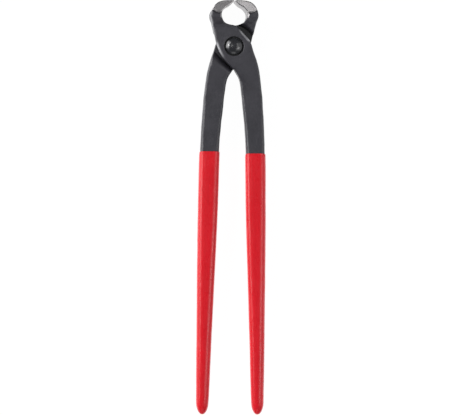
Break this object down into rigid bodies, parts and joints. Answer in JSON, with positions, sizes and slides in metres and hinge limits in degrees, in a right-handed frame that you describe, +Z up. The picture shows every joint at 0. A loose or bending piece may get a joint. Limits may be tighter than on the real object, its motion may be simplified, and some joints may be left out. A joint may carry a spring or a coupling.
{
  "type": "end cutting nippers",
  "caption": "Long end-cutting nippers: two crossed forged levers on a rivet, ground jaw edges meeting over an oval throat, slim tapering dipped handles.",
  "frame": {"origin": "middle of the underside of the tool lying flat, halfway along its length", "axes": "+Y from the handle ends to the cutting edges, +Z up out of the face with the domed rivet head and along the pivot axis, +X to the right seen from that side with the jaws at the top"},
  "size_m": [0.0466, 0.28, 0.024],
  "materials": {
    "blackened_steel": "forged steel, black oxide, jaw ends ground bright",
    "rivet_steel": "turned steel, black oxide, smooth domed head",
    "dipped_plastic": "red dipped soft plastic, semi-gloss"
  },
  "bodies": {
    "rear": {"rear_lever": "blackened_steel", "pivot_rivet": "rivet_steel", "rear_grip": "dipped_plastic"},
    "front": {"front_lever": "blackened_steel", "front_grip": "dipped_plastic"}
  },
  "joints": [
    {"name": "pivot", "type": "hinge", "parent": "rear", "child": "front", "pos_m": [0, 0.109, 0.012], "axis": [0, 0, 1], "range_deg": [-1, 36]}
  ]
}
